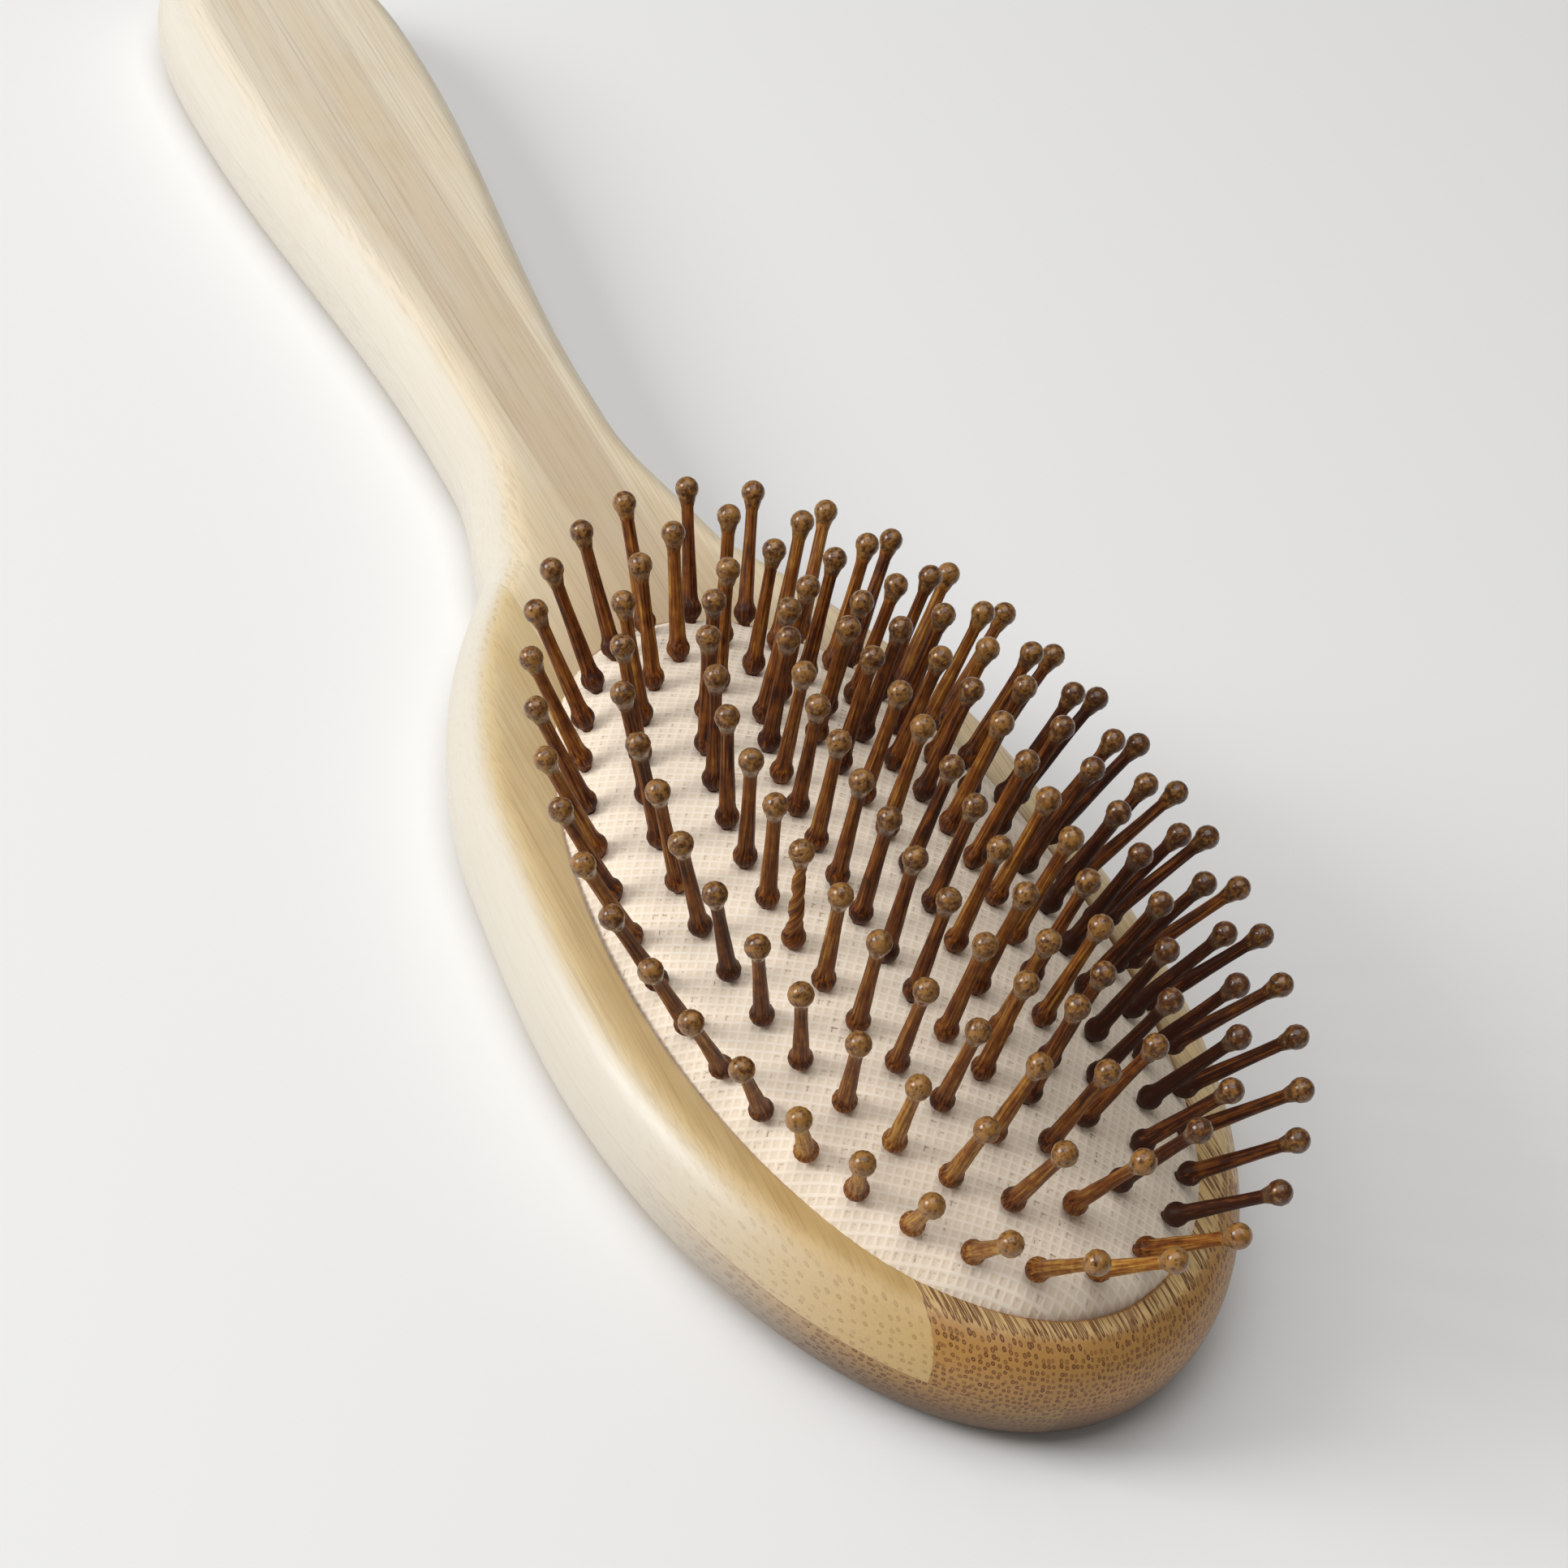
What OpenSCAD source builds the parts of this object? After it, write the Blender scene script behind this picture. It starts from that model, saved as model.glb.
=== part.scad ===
// Oval cushion hairbrush of laminated bamboo, lying on its back with the pins up.
// Long axis along Y: head tip towards -Y, handle end towards +Y. Origin under the middle. Millimetres.

/* [Board] */
// Length from the head tip to the handle end
overall_len = 240; // [236:1:246]
// Greatest width of the head
head_w = 69; // [67:0.5:71]
// Width of the handle at the neck
neck_w = 20; // [18:0.5:22]
// Greatest width of the handle, near its end
grip_w = 31; // [28:0.5:31.5]
// Thickness of the front layer of strips
front_t = 6; // [6:0.5:8]
// Thickness of the back layer of strips
back_t = 7; // [6:0.5:9]
// How far the rounded edge reaches in from the outline
edge_in = 4.4; // [3:0.2:5]
// Squareness of the rounded edge, where 2 is an ellipse
edge_power = 2.4; // [2:0.1:3]
// Width of one bamboo strip
strip_w = 20; // [20:0.5:22]
// Side shift of the front layer's first joint from the middle
front_joint = 4; // [3:0.2:4.2]
// Side shift of the back layer's first joint from the middle
back_joint = -4; // [-4.2:0.2:-3]

/* [Cushion] */
// Width of the oval opening for the cushion
pad_w = 55; // [54:0.5:56]
// Length of the oval opening for the cushion
pad_len = 97.5; // [96:0.5:99]
// Wood left between the opening and the head tip
tip_rim = 5.75; // [5:0.25:7]
// Rise of the cloth above the rim at the middle
crown_h = 11.4; // [10:0.2:12]
// Rise of the cloth above the rim at both ends of the opening
end_lip = 1.8; // [1:0.1:2.2]
// Thickness of the woven cloth
cloth_t = 0.5; // [0.4:0.1:0.6]
// Thickness of the rubber
rubber_t = 1.6; // [1.2:0.1:2]
// How far the rubber flange reaches into the groove
flange_w = 2; // [1.5:0.1:2.4]

/* [Pins] */
// Pins in each oval ring, from the rim inwards
ring_counts = [38, 32, 28, 24];
// Half width of each ring where its pins meet the cloth
ring_half_w = [25.4, 20.5, 14.4, 7.6];
// Half length of each ring where its pins meet the cloth
ring_half_l = [46, 39.6, 33.2, 27.8];
// Outward lean of the pins of each ring, in degrees
ring_lean = [37, 24, 14, 6.5];
// Pins in the straight middle row
row_count = 9; // [7:2:11]
// Half length of the middle row
row_half_l = 20.4; // [18:0.2:22]
// Lean of the last pins of the middle row, in degrees
row_lean = 6; // [0:0.5:8]
// How far the middle row sits towards the head tip
row_shift = 1.2; // [0:0.2:2]
// Height of a pin from the cloth to the middle of its ball
pin_h = 14; // [12:0.1:15]
// Diameter of the ball tip
ball_d = 2.55; // [2.3:0.05:2.7]
// Diameter of the round foot on the cloth
foot_d = 2.5; // [2.3:0.05:2.6]
// Diameter of the shaft above the foot
shaft_low_d = 1.7; // [1.5:0.05:1.8]
// Diameter of the shaft below the ball
shaft_top_d = 1.35; // [1.2:0.05:1.5]
// Diameter of the shank through the cushion
shank_d = 1.2; // [1:0.1:1.3]
// Diameter of the head behind the cushion
head_d = 2.4; // [2:0.1:2.8]

/* [Hidden] */
$fn = 32;
total_t = front_t + back_t;
tip_y = -overall_len / 2;
end_y = overall_len / 2;
pad_y = tip_y + tip_rim + pad_len / 2;
// Stretches of the outline along Y, measured from the head tip
head_front = 54.5;
head_back = 64;
neck_at = 144;
// Extra half width where the handle leaves the head, where it starts to fade and over what length
neck_flare = 5;
flare_at = 113;
flare_len = 26;
grip_at = 212;
grip_end = overall_len - grip_at;
// Shape of the handle's rounded end
end_fullness = 2.6;
end_roundness = 2.2;
// Sharpness of the blend from head to handle
neck_power = 3;
// Fineness of the outline, of the rounded edge and of the oval
stations = 40;
edge_steps = 4;
oval_sides = 72;
// Crown: a ring of tube radius cross_r swept around an axis along X
cross_r = ((pad_w / 2) * (pad_w / 2) + crown_h * crown_h) / (2 * crown_h);
long_rise = crown_h - end_lip;
long_r = (pad_len * pad_len / 4 + long_rise * long_rise) / (2 * long_rise);
sweep_r = long_r - cross_r;
crown_z = total_t + crown_h - long_r;
// Groove for the flange, below the rim
groove_top = total_t - 2.4;
groove_h = rubber_t + 0.2;
fit_gap = 0.1;
skirt_z = groove_top;
flange_z = groove_top - rubber_t - 0.1;
// Pin lengths along its own axis, from the middle of the foot
foot_gap = 0.1;
reach = pin_h - foot_d / 2;
ball_neck = 1.5;
shank_len = foot_d / 2 + foot_gap + cloth_t + rubber_t + 0.65;
head_t = 0.8;
hole_d = shank_d + 0.3;
hole_len = shank_len + 0.5;
front_colour = "#d8c39a";
back_colour = "#c9ab78";
pin_colour = "#4a2a18";

// Outline of the board: half width at a distance s from the head tip
function head_half(s) =
    let (u = s < head_front ? (s - head_front) / head_front : (s - head_front) / head_back)
    abs(u) >= 1 ? 0 : head_w / 2 * sqrt(1 - u * u);
function ease(u) = (1 - cos(180 * min(max(u, 0), 1))) / 2;
function handle_half(s) =
    let (v = (s - grip_at) / grip_end,
         flare = neck_flare * (1 - ease((s - flare_at) / flare_len)),
         widening = (grip_w - neck_w) / 2 * ease((s - neck_at) / (grip_at - neck_at)))
    s < head_front ? 0
    : s < grip_at ? (neck_w / 2 + flare + widening) * ease((s - head_front) / (head_back / 2))
    : grip_w / 2 * pow(max(1 - pow(v, end_fullness), 0), 1 / end_roundness);
function board_half(s) =
    pow(pow(head_half(s), neck_power) + pow(handle_half(s), neck_power), 1 / neck_power);
function station(k) = overall_len * (1 - cos(180 * k / stations)) / 2;

// Closed outline, up the right side and back down the left
outline = concat(
    [for (k = [0:stations]) let (s = station(k)) [board_half(s), tip_y + s]],
    [for (k = [stations - 1:-1:1]) let (s = station(k)) [-board_half(s), tip_y + s]]);
loop_n = len(outline);
function unit2(v) = v / norm(v);
function inward(i) =
    let (d = unit2(outline[(i + 1) % loop_n] - outline[(i + loop_n - 1) % loop_n]))
    [-d[1], d[0]];

// Solid of both layers together, with its rounded edge
module board_blank() {
    levels = 2 * edge_steps;
    bent = function (c) pow(abs(c), 2 / edge_power);
    points = [for (j = [0:levels]) let (a = -90 + 180 * j / levels)
        for (i = [0:loop_n - 1])
            let (p = outline[i] + inward(i) * edge_in * (1 - bent(cos(a))),
                 h = a < 0 ? -back_t * bent(sin(a)) : front_t * bent(sin(a)))
            [p[0], p[1], back_t + h]];
    sides = [for (j = [0:levels - 1], i = [0:loop_n - 1])
        let (a = j * loop_n + i, b = j * loop_n + (i + 1) % loop_n)
        each [[a, a + loop_n, b], [b, a + loop_n, b + loop_n]]];
    top = levels * loop_n;
    caps = [for (k = [0:stations - 1])
        let (r0 = k, r1 = k + 1, l0 = (loop_n - k) % loop_n, l1 = loop_n - k - 1)
        each [if (r1 != l1) [r0, r1, l1],
              if (r0 != l0) [r0, l1, l0],
              if (r1 != l1) [top + r0, top + l1, top + r1],
              if (r0 != l0) [top + r0, top + l0, top + l1]]];
    polyhedron(points, concat(sides, caps));
}

module oval(grow) {
    polygon([for (i = [0:oval_sides - 1]) let (a = 360 * i / oval_sides)
        [(pad_w / 2 + grow) * cos(a), pad_y + (pad_len / 2 + grow) * sin(a)]]);
}

module oval_plate(grow, z0, z1) {
    translate([0, 0, z0]) linear_extrude(z1 - z0) oval(grow);
}

module strip_block(x, y, z) {
    translate([x[0], y[0], z[0]]) cube([x[1] - x[0], y[1] - y[0], z[1] - z[0]]);
}

module front_strip(x, y) {
    color(front_colour) difference() {
        intersection() {
            board_blank();
            strip_block(x, y, [back_t, total_t + 1]);
        }
        oval_plate(0, back_t - 1, total_t + 1);
        oval_plate(flange_w + fit_gap, groove_top - groove_h, groove_top);
    }
}

module back_strip(x, y) {
    color(back_colour) intersection() {
        board_blank();
        strip_block(x, y, [-1, back_t]);
    }
}

// Side limits of the strips, and the stretches of the board they run along
left_side = -head_w / 2 - 1;
right_side = head_w / 2 + 1;
front_left = [left_side, front_joint - strip_w];
front_mid_left = [front_joint - strip_w, front_joint];
front_mid_right = [front_joint, front_joint + strip_w];
front_right = [front_joint + strip_w, right_side];
back_left = [left_side, back_joint - strip_w];
back_mid_l = [back_joint - strip_w, back_joint];
back_mid_r = [back_joint, back_joint + strip_w];
back_right = [back_joint + strip_w, right_side];
whole_run = [tip_y - 1, end_y + 1];
tip_run = [tip_y - 1, pad_y];
handle_run = [pad_y, end_y + 1];

module front_left_head() { front_strip(front_left, whole_run); }
module front_mid_left_tip() { front_strip(front_mid_left, tip_run); }
module front_mid_left_handle() { front_strip(front_mid_left, handle_run); }
module front_mid_right_tip() { front_strip(front_mid_right, tip_run); }
module front_mid_right_handle() { front_strip(front_mid_right, handle_run); }
module front_right_head() { front_strip(front_right, whole_run); }
module back_left_head() { back_strip(back_left, whole_run); }
module back_mid_left() { back_strip(back_mid_l, whole_run); }
module back_mid_right() { back_strip(back_mid_r, whole_run); }
module back_right_head() { back_strip(back_right, whole_run); }

// Everything under a crown that lies depth below the face of the cloth
module under_crown(depth) {
    translate([0, pad_y, crown_z]) rotate([0, 90, 0])
        rotate_extrude($fn = 180) translate([sweep_r, 0]) circle(cross_r - depth, $fn = 96);
}

module capped_oval(grow, depth, z0) {
    intersection() {
        oval_plate(grow, z0, total_t + crown_h + 1);
        under_crown(depth);
    }
}

module cushion_cloth() {
    color("#e6dccb") difference() {
        capped_oval(-fit_gap, 0, skirt_z);
        capped_oval(-fit_gap - cloth_t, cloth_t, skirt_z - 1);
        pin_holes();
    }
}

module rubber_cushion() {
    wall = fit_gap + cloth_t + rubber_t;
    color("#c9b59a") difference() {
        union() {
            capped_oval(-fit_gap - cloth_t, cloth_t, flange_z);
            oval_plate(flange_w, flange_z, flange_z + rubber_t);
        }
        capped_oval(-wall, cloth_t + rubber_t, flange_z - 1);
        pin_holes();
    }
}

// Place of a pin: foot [x, y] from the cushion's middle, lean angle and lean direction
function row_pins() = [for (i = [0:row_count - 1])
    let (u = 2 * i / (row_count - 1) - 1)
    [0, u * row_half_l - row_shift, row_lean * u, 90]];
arc_steps = 180;
function ring_pins(r) =
    let (w = ring_half_w[r],
         l = ring_half_l[r],
         shift = row_shift * (1 - 2 * w / pad_w),
         spot = function (t) [w * sin(t), -l * cos(t)],
         turn = 360 / arc_steps,
         lengths = [for (i = 0, s = 0; i <= arc_steps;
             s = s + norm(spot((i + 1) * turn) - spot(i * turn)), i = i + 1) [s, i * turn]],
         whole = lengths[arc_steps][0])
    [for (i = [0:ring_counts[r] - 1])
        let (t = lookup(whole * i / ring_counts[r], lengths), p = spot(t))
        [p[0], p[1] - shift, ring_lean[r], t - 90]];

// Height of the cloth's face and its outward direction at a place on the cushion
function face_z(x, y) =
    let (reach_r = sweep_r + sqrt(cross_r * cross_r - x * x))
    crown_z + sqrt(reach_r * reach_r - y * y);
function face_normal(x, y) =
    let (z = face_z(x, y) - crown_z, reach_r = norm([y, z]))
    [x, y * (1 - sweep_r / reach_r), z * (1 - sweep_r / reach_r)] / cross_r;

// Frame of a pin: middle of its foot at the origin, its axis along Z
module at_pin(p) {
    lift = foot_d / 2 + foot_gap;
    foot = [p[0], p[1], face_z(p[0], p[1])] + face_normal(p[0], p[1]) * lift;
    translate(foot + [0, pad_y, 0]) rotate([0, p[2], p[3]]) children();
}

module pin_holes() {
    for (r = [0:len(ring_counts) - 1]) for (p = ring_pins(r)) at_pin(p) pin_hole();
    for (p = row_pins()) at_pin(p) pin_hole();
}

module pin_hole() {
    translate([0, 0, -hole_len]) cylinder(h = hole_len, d = hole_d);
}

module pin() {
    sphere(d = foot_d);
    cylinder(h = reach, d1 = shaft_low_d, d2 = shaft_top_d);
    translate([0, 0, reach - ball_neck]) cylinder(h = ball_neck, d1 = shaft_top_d, d2 = ball_d * 0.8);
    translate([0, 0, reach]) sphere(d = ball_d);
    translate([0, 0, -shank_len]) cylinder(h = shank_len, d = shank_d);
    translate([0, 0, -shank_len - head_t]) cylinder(h = head_t, d = head_d);
}

module pin_set(places) {
    color(pin_colour) for (p = places) at_pin(p) pin();
}

module pins_outer_ring() { pin_set(ring_pins(0)); }
module pins_second_ring() { pin_set(ring_pins(1)); }
module pins_third_ring() { pin_set(ring_pins(2)); }
module pins_inner_ring() { pin_set(ring_pins(3)); }
module pins_middle_row() { pin_set(row_pins()); }

front_left_head();
front_mid_left_tip();
front_mid_left_handle();
front_mid_right_tip();
front_mid_right_handle();
front_right_head();
back_left_head();
back_mid_left();
back_mid_right();
back_right_head();
rubber_cushion();
cushion_cloth();
pins_outer_ring();
pins_second_ring();
pins_third_ring();
pins_inner_ring();
pins_middle_row();
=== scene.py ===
"""Looks of an oval cushion hairbrush of laminated bamboo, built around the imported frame.

Sizes are millimetres in the frame's axes: +Z up out of the cushion, +Y along the handle.
"""

import logging
import math
import random
from dataclasses import dataclass
from enum import Enum
from functools import partial
from typing import Any, Callable, ClassVar, Iterator, Sequence

import bmesh
import bpy
from mathutils import Matrix, Vector


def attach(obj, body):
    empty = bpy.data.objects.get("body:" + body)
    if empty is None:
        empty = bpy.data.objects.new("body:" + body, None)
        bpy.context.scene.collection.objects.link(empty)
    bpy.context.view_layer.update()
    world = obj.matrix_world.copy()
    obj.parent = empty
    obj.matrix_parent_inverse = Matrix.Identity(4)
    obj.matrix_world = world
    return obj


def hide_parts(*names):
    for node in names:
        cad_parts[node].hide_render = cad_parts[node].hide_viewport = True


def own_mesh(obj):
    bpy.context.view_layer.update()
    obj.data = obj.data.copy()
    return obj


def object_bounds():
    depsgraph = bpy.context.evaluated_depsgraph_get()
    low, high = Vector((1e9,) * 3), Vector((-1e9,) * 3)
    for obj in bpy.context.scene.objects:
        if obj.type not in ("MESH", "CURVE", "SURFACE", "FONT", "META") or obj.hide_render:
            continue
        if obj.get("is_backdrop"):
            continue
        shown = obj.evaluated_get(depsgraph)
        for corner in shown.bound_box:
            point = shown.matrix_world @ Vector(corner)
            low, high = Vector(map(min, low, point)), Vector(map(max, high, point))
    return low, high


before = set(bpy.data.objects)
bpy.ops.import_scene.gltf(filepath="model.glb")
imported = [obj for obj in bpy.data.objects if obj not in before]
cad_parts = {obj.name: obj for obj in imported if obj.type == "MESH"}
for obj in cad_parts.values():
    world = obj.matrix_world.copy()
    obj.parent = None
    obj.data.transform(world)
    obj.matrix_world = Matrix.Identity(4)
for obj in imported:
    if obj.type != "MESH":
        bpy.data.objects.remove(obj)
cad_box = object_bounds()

log = logging.getLogger("hairbrush")
MM = 0.001
Node = bpy.types.Node
Finish = bpy.types.Material
Piece = bpy.types.Object
Shape = bmesh.types.BMesh
Span = tuple[float, float]
Triple = tuple[float, float, float]
Spot = tuple[float, float, float, float]
Add = Callable[..., Node]
Place = Callable[[float], Vector]
TINY = 1e-6
SHARP = 35.0


class Body(Enum):
    """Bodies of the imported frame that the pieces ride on."""

    BOARD = "board"
    OUTER = "outer_pins"
    SECOND = "second_pins"
    THIRD = "third_pins"
    INNER = "inner_pins"
    MIDDLE = "middle_pins"


class Slot(Enum):
    """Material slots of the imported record."""

    FRONT = "front_bamboo"
    BACK = "back_bamboo"
    RUBBER = "cushion_rubber"
    CLOTH = "cushion_cloth"
    PIN = "pin_bamboo"


# Colours and nodes


def linear(colour: str) -> tuple[float, float, float, float]:
    """Turns an sRGB hex colour into linear light.

    Args:
        colour: Six hex digits after a hash sign.

    Returns:
        Red, green, blue and an alpha of one.
    """
    parts = [int(colour[i : i + 2], 16) / 255 for i in (1, 3, 5)]
    bent = [p / 12.92 if p <= 0.04045 else ((p + 0.055) / 1.055) ** 2.4 for p in parts]
    return (bent[0], bent[1], bent[2], 1.0)


def add_node(
    tree: bpy.types.NodeTree, kind: str, inputs: dict | None = None, **settings: Any
) -> Node:
    """Adds one node with its settings, and links or sets its inputs.

    Args:
        tree: Node tree that takes the node.
        kind: Type name of the node, without its ShaderNode prefix.
        inputs: Values, sockets or nodes, by input; a node gives its first output in use.
        **settings: Properties of the node itself.

    Returns:
        The new node.
    """
    node = tree.nodes.new("ShaderNode" + kind)
    for name, value in settings.items():
        setattr(node, name, value)
    for key, value in (inputs or {}).items():
        if isinstance(value, Node):
            value = next(out for out in value.outputs if out.enabled)
        if isinstance(value, bpy.types.NodeSocket):
            tree.links.new(value, node.inputs[key])
        else:
            node.inputs[key].default_value = value
    return node


def new_material(name: str) -> tuple[Finish, Add]:
    """Starts an empty material.

    Args:
        name: Name of the real material.

    Returns:
        The material, and add_node for its own tree.
    """
    material = bpy.data.materials.new(name)
    material.use_nodes = True
    material.node_tree.nodes.clear()
    return material, partial(add_node, material.node_tree)


SMOOTH = {"interpolation_type": "SMOOTHSTEP"}
COLOUR = {"data_type": "RGBA"}
TIMES = {"operation": "MULTIPLY"}
TIMES_PLUS = {"operation": "MULTIPLY_ADD"}
MINUS = {"operation": "SUBTRACT"}
SIZE = {"operation": "ABSOLUTE"}
MOST = {"operation": "MAXIMUM"}


# Finishes


@dataclass(frozen=True)
class Bamboo:
    """Sanded and oiled bamboo strip.

    Its fibre bundles show as brown rings on end grain and as thin streaks along the strip.
    """

    FACING: ClassVar[str] = "facing"

    pale: str
    tan: str
    shift: Triple
    tan_along: Span = (-20.0, -105.0)
    pitch: float = 0.64
    bundle_r: float = 0.21
    on_end: float = 1.0
    along: float = 0.25
    soak: float = 0.2
    # Share of the painted sheen on the lit left side
    edge: float = 0.0
    # Share of the painted shade at the bottom of the tip
    shade_below: float = 0.0
    name: str = "bamboo"
    joints: Span = (0.0, 0.0)
    bundle: str = "#5f2d07"
    soaked: str = "#ab7833"
    # Colour of the painted sheen on the lit left side
    painted_sheen: str = "#d3cdc0"
    # Colour of the painted shade at the bottom of the tip
    painted_shade: str = "#301d0b"
    lip: str = "#8a5c2b"
    glue: str = "#6b4824"
    # Where the painted sheen reaches along and across the board
    sheen_along: Span = (-116.0, -78.0)
    sheen_across: Span = (4.0, -8.0)
    soaked_along: Span = (-40.0, -90.0)
    # Height over which the painted shade at the bottom of the tip fades in
    shade_height: Span = (9.0, 2.5)
    glue_height: float = 7.0
    wander: float = 0.6
    sway_mm: Triple = (9.0, 34.0, 9.0)
    # Fibres are drawn 0.2 mm wide, coarser than real ones, so that they show
    fibre_mm: Triple = (0.22, 14.0, 0.22)
    band_mm: Triple = (4.0, 70.0, 3.0)
    patch_mm: Triple = (8.0, 8.0, 8.0)

    def build(self) -> Finish:
        """Builds the material.

        Returns:
            A solid pattern in the strip's section, so that rings on the tip run into streaks.
        """
        material, add = new_material(self.name)
        place = add("TexCoord").outputs["Object"]
        mm = add("Mapping", {"Vector": place, "Scale": (1 / MM, 1 / MM, 1 / MM)})
        spot = add("SeparateXYZ", {0: mm}).outputs
        own = add("Mapping", {"Vector": mm, "Location": self.shift})
        sizes, noises = (self.sway_mm, self.fibre_mm, self.band_mm, self.patch_mm), []
        for size, detail in zip(sizes, (1.0, 3.0, 2.0, 2.0)):
            sized = add("Mapping", {"Vector": own, "Scale": [1 / length for length in size]})
            noises.append(add("TexNoise", {"Vector": sized, "Scale": 1.0, "Detail": detail}))
        sway, fibres, bands, patch = noises
        marked = add("Attribute", attribute_name=self.FACING).outputs["Vector"]
        facing = add("SeparateXYZ", {0: marked}).outputs
        end = add("MapRange", {0: facing[1], 1: 0.06, 2: 0.42}, **SMOOTH)
        spans = [(0, self.sheen_across), (1, self.sheen_along), (1, self.tan_along)]
        spans += [(1, self.soaked_along), (2, self.shade_height)]
        zones = []
        for axis, (start, full) in spans:
            zones.append(add("MapRange", {0: spot[axis], 1: start, 2: full}, **SMOOTH))
        *left, turned, tip, below = zones
        # Painted sheen: the side faces on the left, lit by the key light, are paled and hide their
        # pattern
        edge = add("MapRange", {0: facing[2], 1: 0.97, 2: 0.6, 4: self.edge}, **SMOOTH)
        for zone in left:
            edge = add("Math", {0: edge, 1: zone}, **TIMES)
        shows = add("Math", {0: edge, 1: -0.9, 2: 1.0}, **TIMES_PLUS)
        swayed = {0: sway.outputs["Color"], 1: (self.wander,) * 3, 2: own}
        depth = add("MapRange", {0: end, 3: self.along, 4: self.on_end})
        depth = add("Math", {0: depth, 1: shows}, **TIMES)
        mark = self.bundles(add, add("VectorMath", swayed, **TIMES_PLUS), depth)
        tans = add("MapRange", {0: bands, 1: 0.3, 2: 0.72}, **SMOOTH)
        tans = add("Math", {0: tans, 1: 0.36, 2: turned}, **TIMES_PLUS, use_clamp=True)
        patches = add("MapRange", {0: patch, 1: 0.45, 2: 0.8, 4: 0.35}, **SMOOTH)
        # End grain at the tip soaks up more oil; lower down, painted shade darkens the tip's end
        # grain towards the bottom
        tip = add("Math", {0: end, 1: tip}, **TIMES)
        oiled = add("Math", {0: tip, 1: self.soak}, **TIMES)
        for share in (self.shade_below, tip):
            below = add("Math", {0: below, 1: share}, **TIMES)
        streaks = add("MapRange", {0: fibres, 1: 0.49, 2: 0.63}, **SMOOTH)
        for share in (shows, add("MapRange", {0: end, 3: self.along, 4: 0.08})):
            streaks = add("Math", {0: streaks, 1: share}, **TIMES)
        layers = [(tans, self.tan), (patches, self.tan), (oiled, self.soaked)]
        layers += [(below, self.painted_shade), (edge, self.painted_sheen)]
        layers += [(streaks, self.bundle), (mark, self.bundle)]
        seams = [(2, self.glue_height, 0.4)] + [(0, joint, 0.15) for joint in self.joints]
        for axis, line, full in seams:
            off = add("Math", {0: spot[axis], 1: line}, **MINUS)
            off = add("Math", {0: off}, **SIZE)
            seam = add("MapRange", {0: off, 1: 0.11, 2: 0.03, 4: full}, **SMOOTH)
            layers.append((add("Math", {0: seam, 1: shows}, **TIMES), self.glue))
        layers.append((add("Math", {0: facing[0], 1: 0.7}, **TIMES), self.lip))
        colour = linear(self.pale)
        for share, tint in layers:
            colour = add("Mix", {0: share, 6: colour, 7: linear(tint)}, **COLOUR)
        rough = add("MapRange", {0: fibres, 3: 0.36, 4: 0.5})
        height = add("Math", {0: fibres, 1: 0.4}, **TIMES)
        height = add("Math", {0: height, 1: mark}, **MINUS)
        bump = add("Bump", {"Height": height, "Distance": 0.02 * MM, "Strength": 1.0})
        shader = {"Base Color": colour, "Roughness": rough, "IOR": 1.5, "Normal": bump}
        shader |= {"Coat Weight": 0.2, "Coat Roughness": 0.35}
        add("OutputMaterial", {0: add("BsdfPrincipled", shader)})
        return material

    def bundles(self, add: Add, swayed: Node, depth: Node) -> Node:
        """Adds the fibre bundles: rings of uneven size and depth round a paler core.

        Args:
            add: add_node for the material's tree.
            swayed: Place in the strip in millimetres, bent a little as fibres are.
            depth: How strongly the bundles show.

        Returns:
            Share of the bundles' colour.
        """
        axes = add("SeparateXYZ", {0: swayed}).outputs
        section = add("CombineXYZ", {0: axes[0], 1: axes[2]})
        sown = {"Vector": section, "Scale": 1 / self.pitch, "Randomness": 0.62}
        cells = add("TexVoronoi", sown, voronoi_dimensions="2D").outputs
        lot = add("SeparateColor", {0: cells["Color"]}).outputs
        from_middle = add("Math", {0: cells["Distance"], 1: self.pitch}, **TIMES)
        reach = add("MapRange", {0: lot[0], 3: 0.7 * self.bundle_r, 4: self.bundle_r})
        past = add("Math", {0: from_middle, 1: reach}, **MINUS)
        dot = add("MapRange", {0: past, 1: 0.035, 2: -0.025}, **SMOOTH)
        core = add("MapRange", {0: from_middle, 1: 0.12, 2: 0.04, 4: 0.6}, **SMOOTH)
        ring = add("Math", {0: dot, 1: core}, **MINUS)
        vary = add("Math", {0: lot[1], 1: 0.5, 2: 0.55}, **TIMES_PLUS)
        depth = add("Math", {0: depth, 1: vary}, **TIMES)
        return add("Math", {0: ring, 1: depth}, **TIMES, use_clamp=True)


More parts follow.
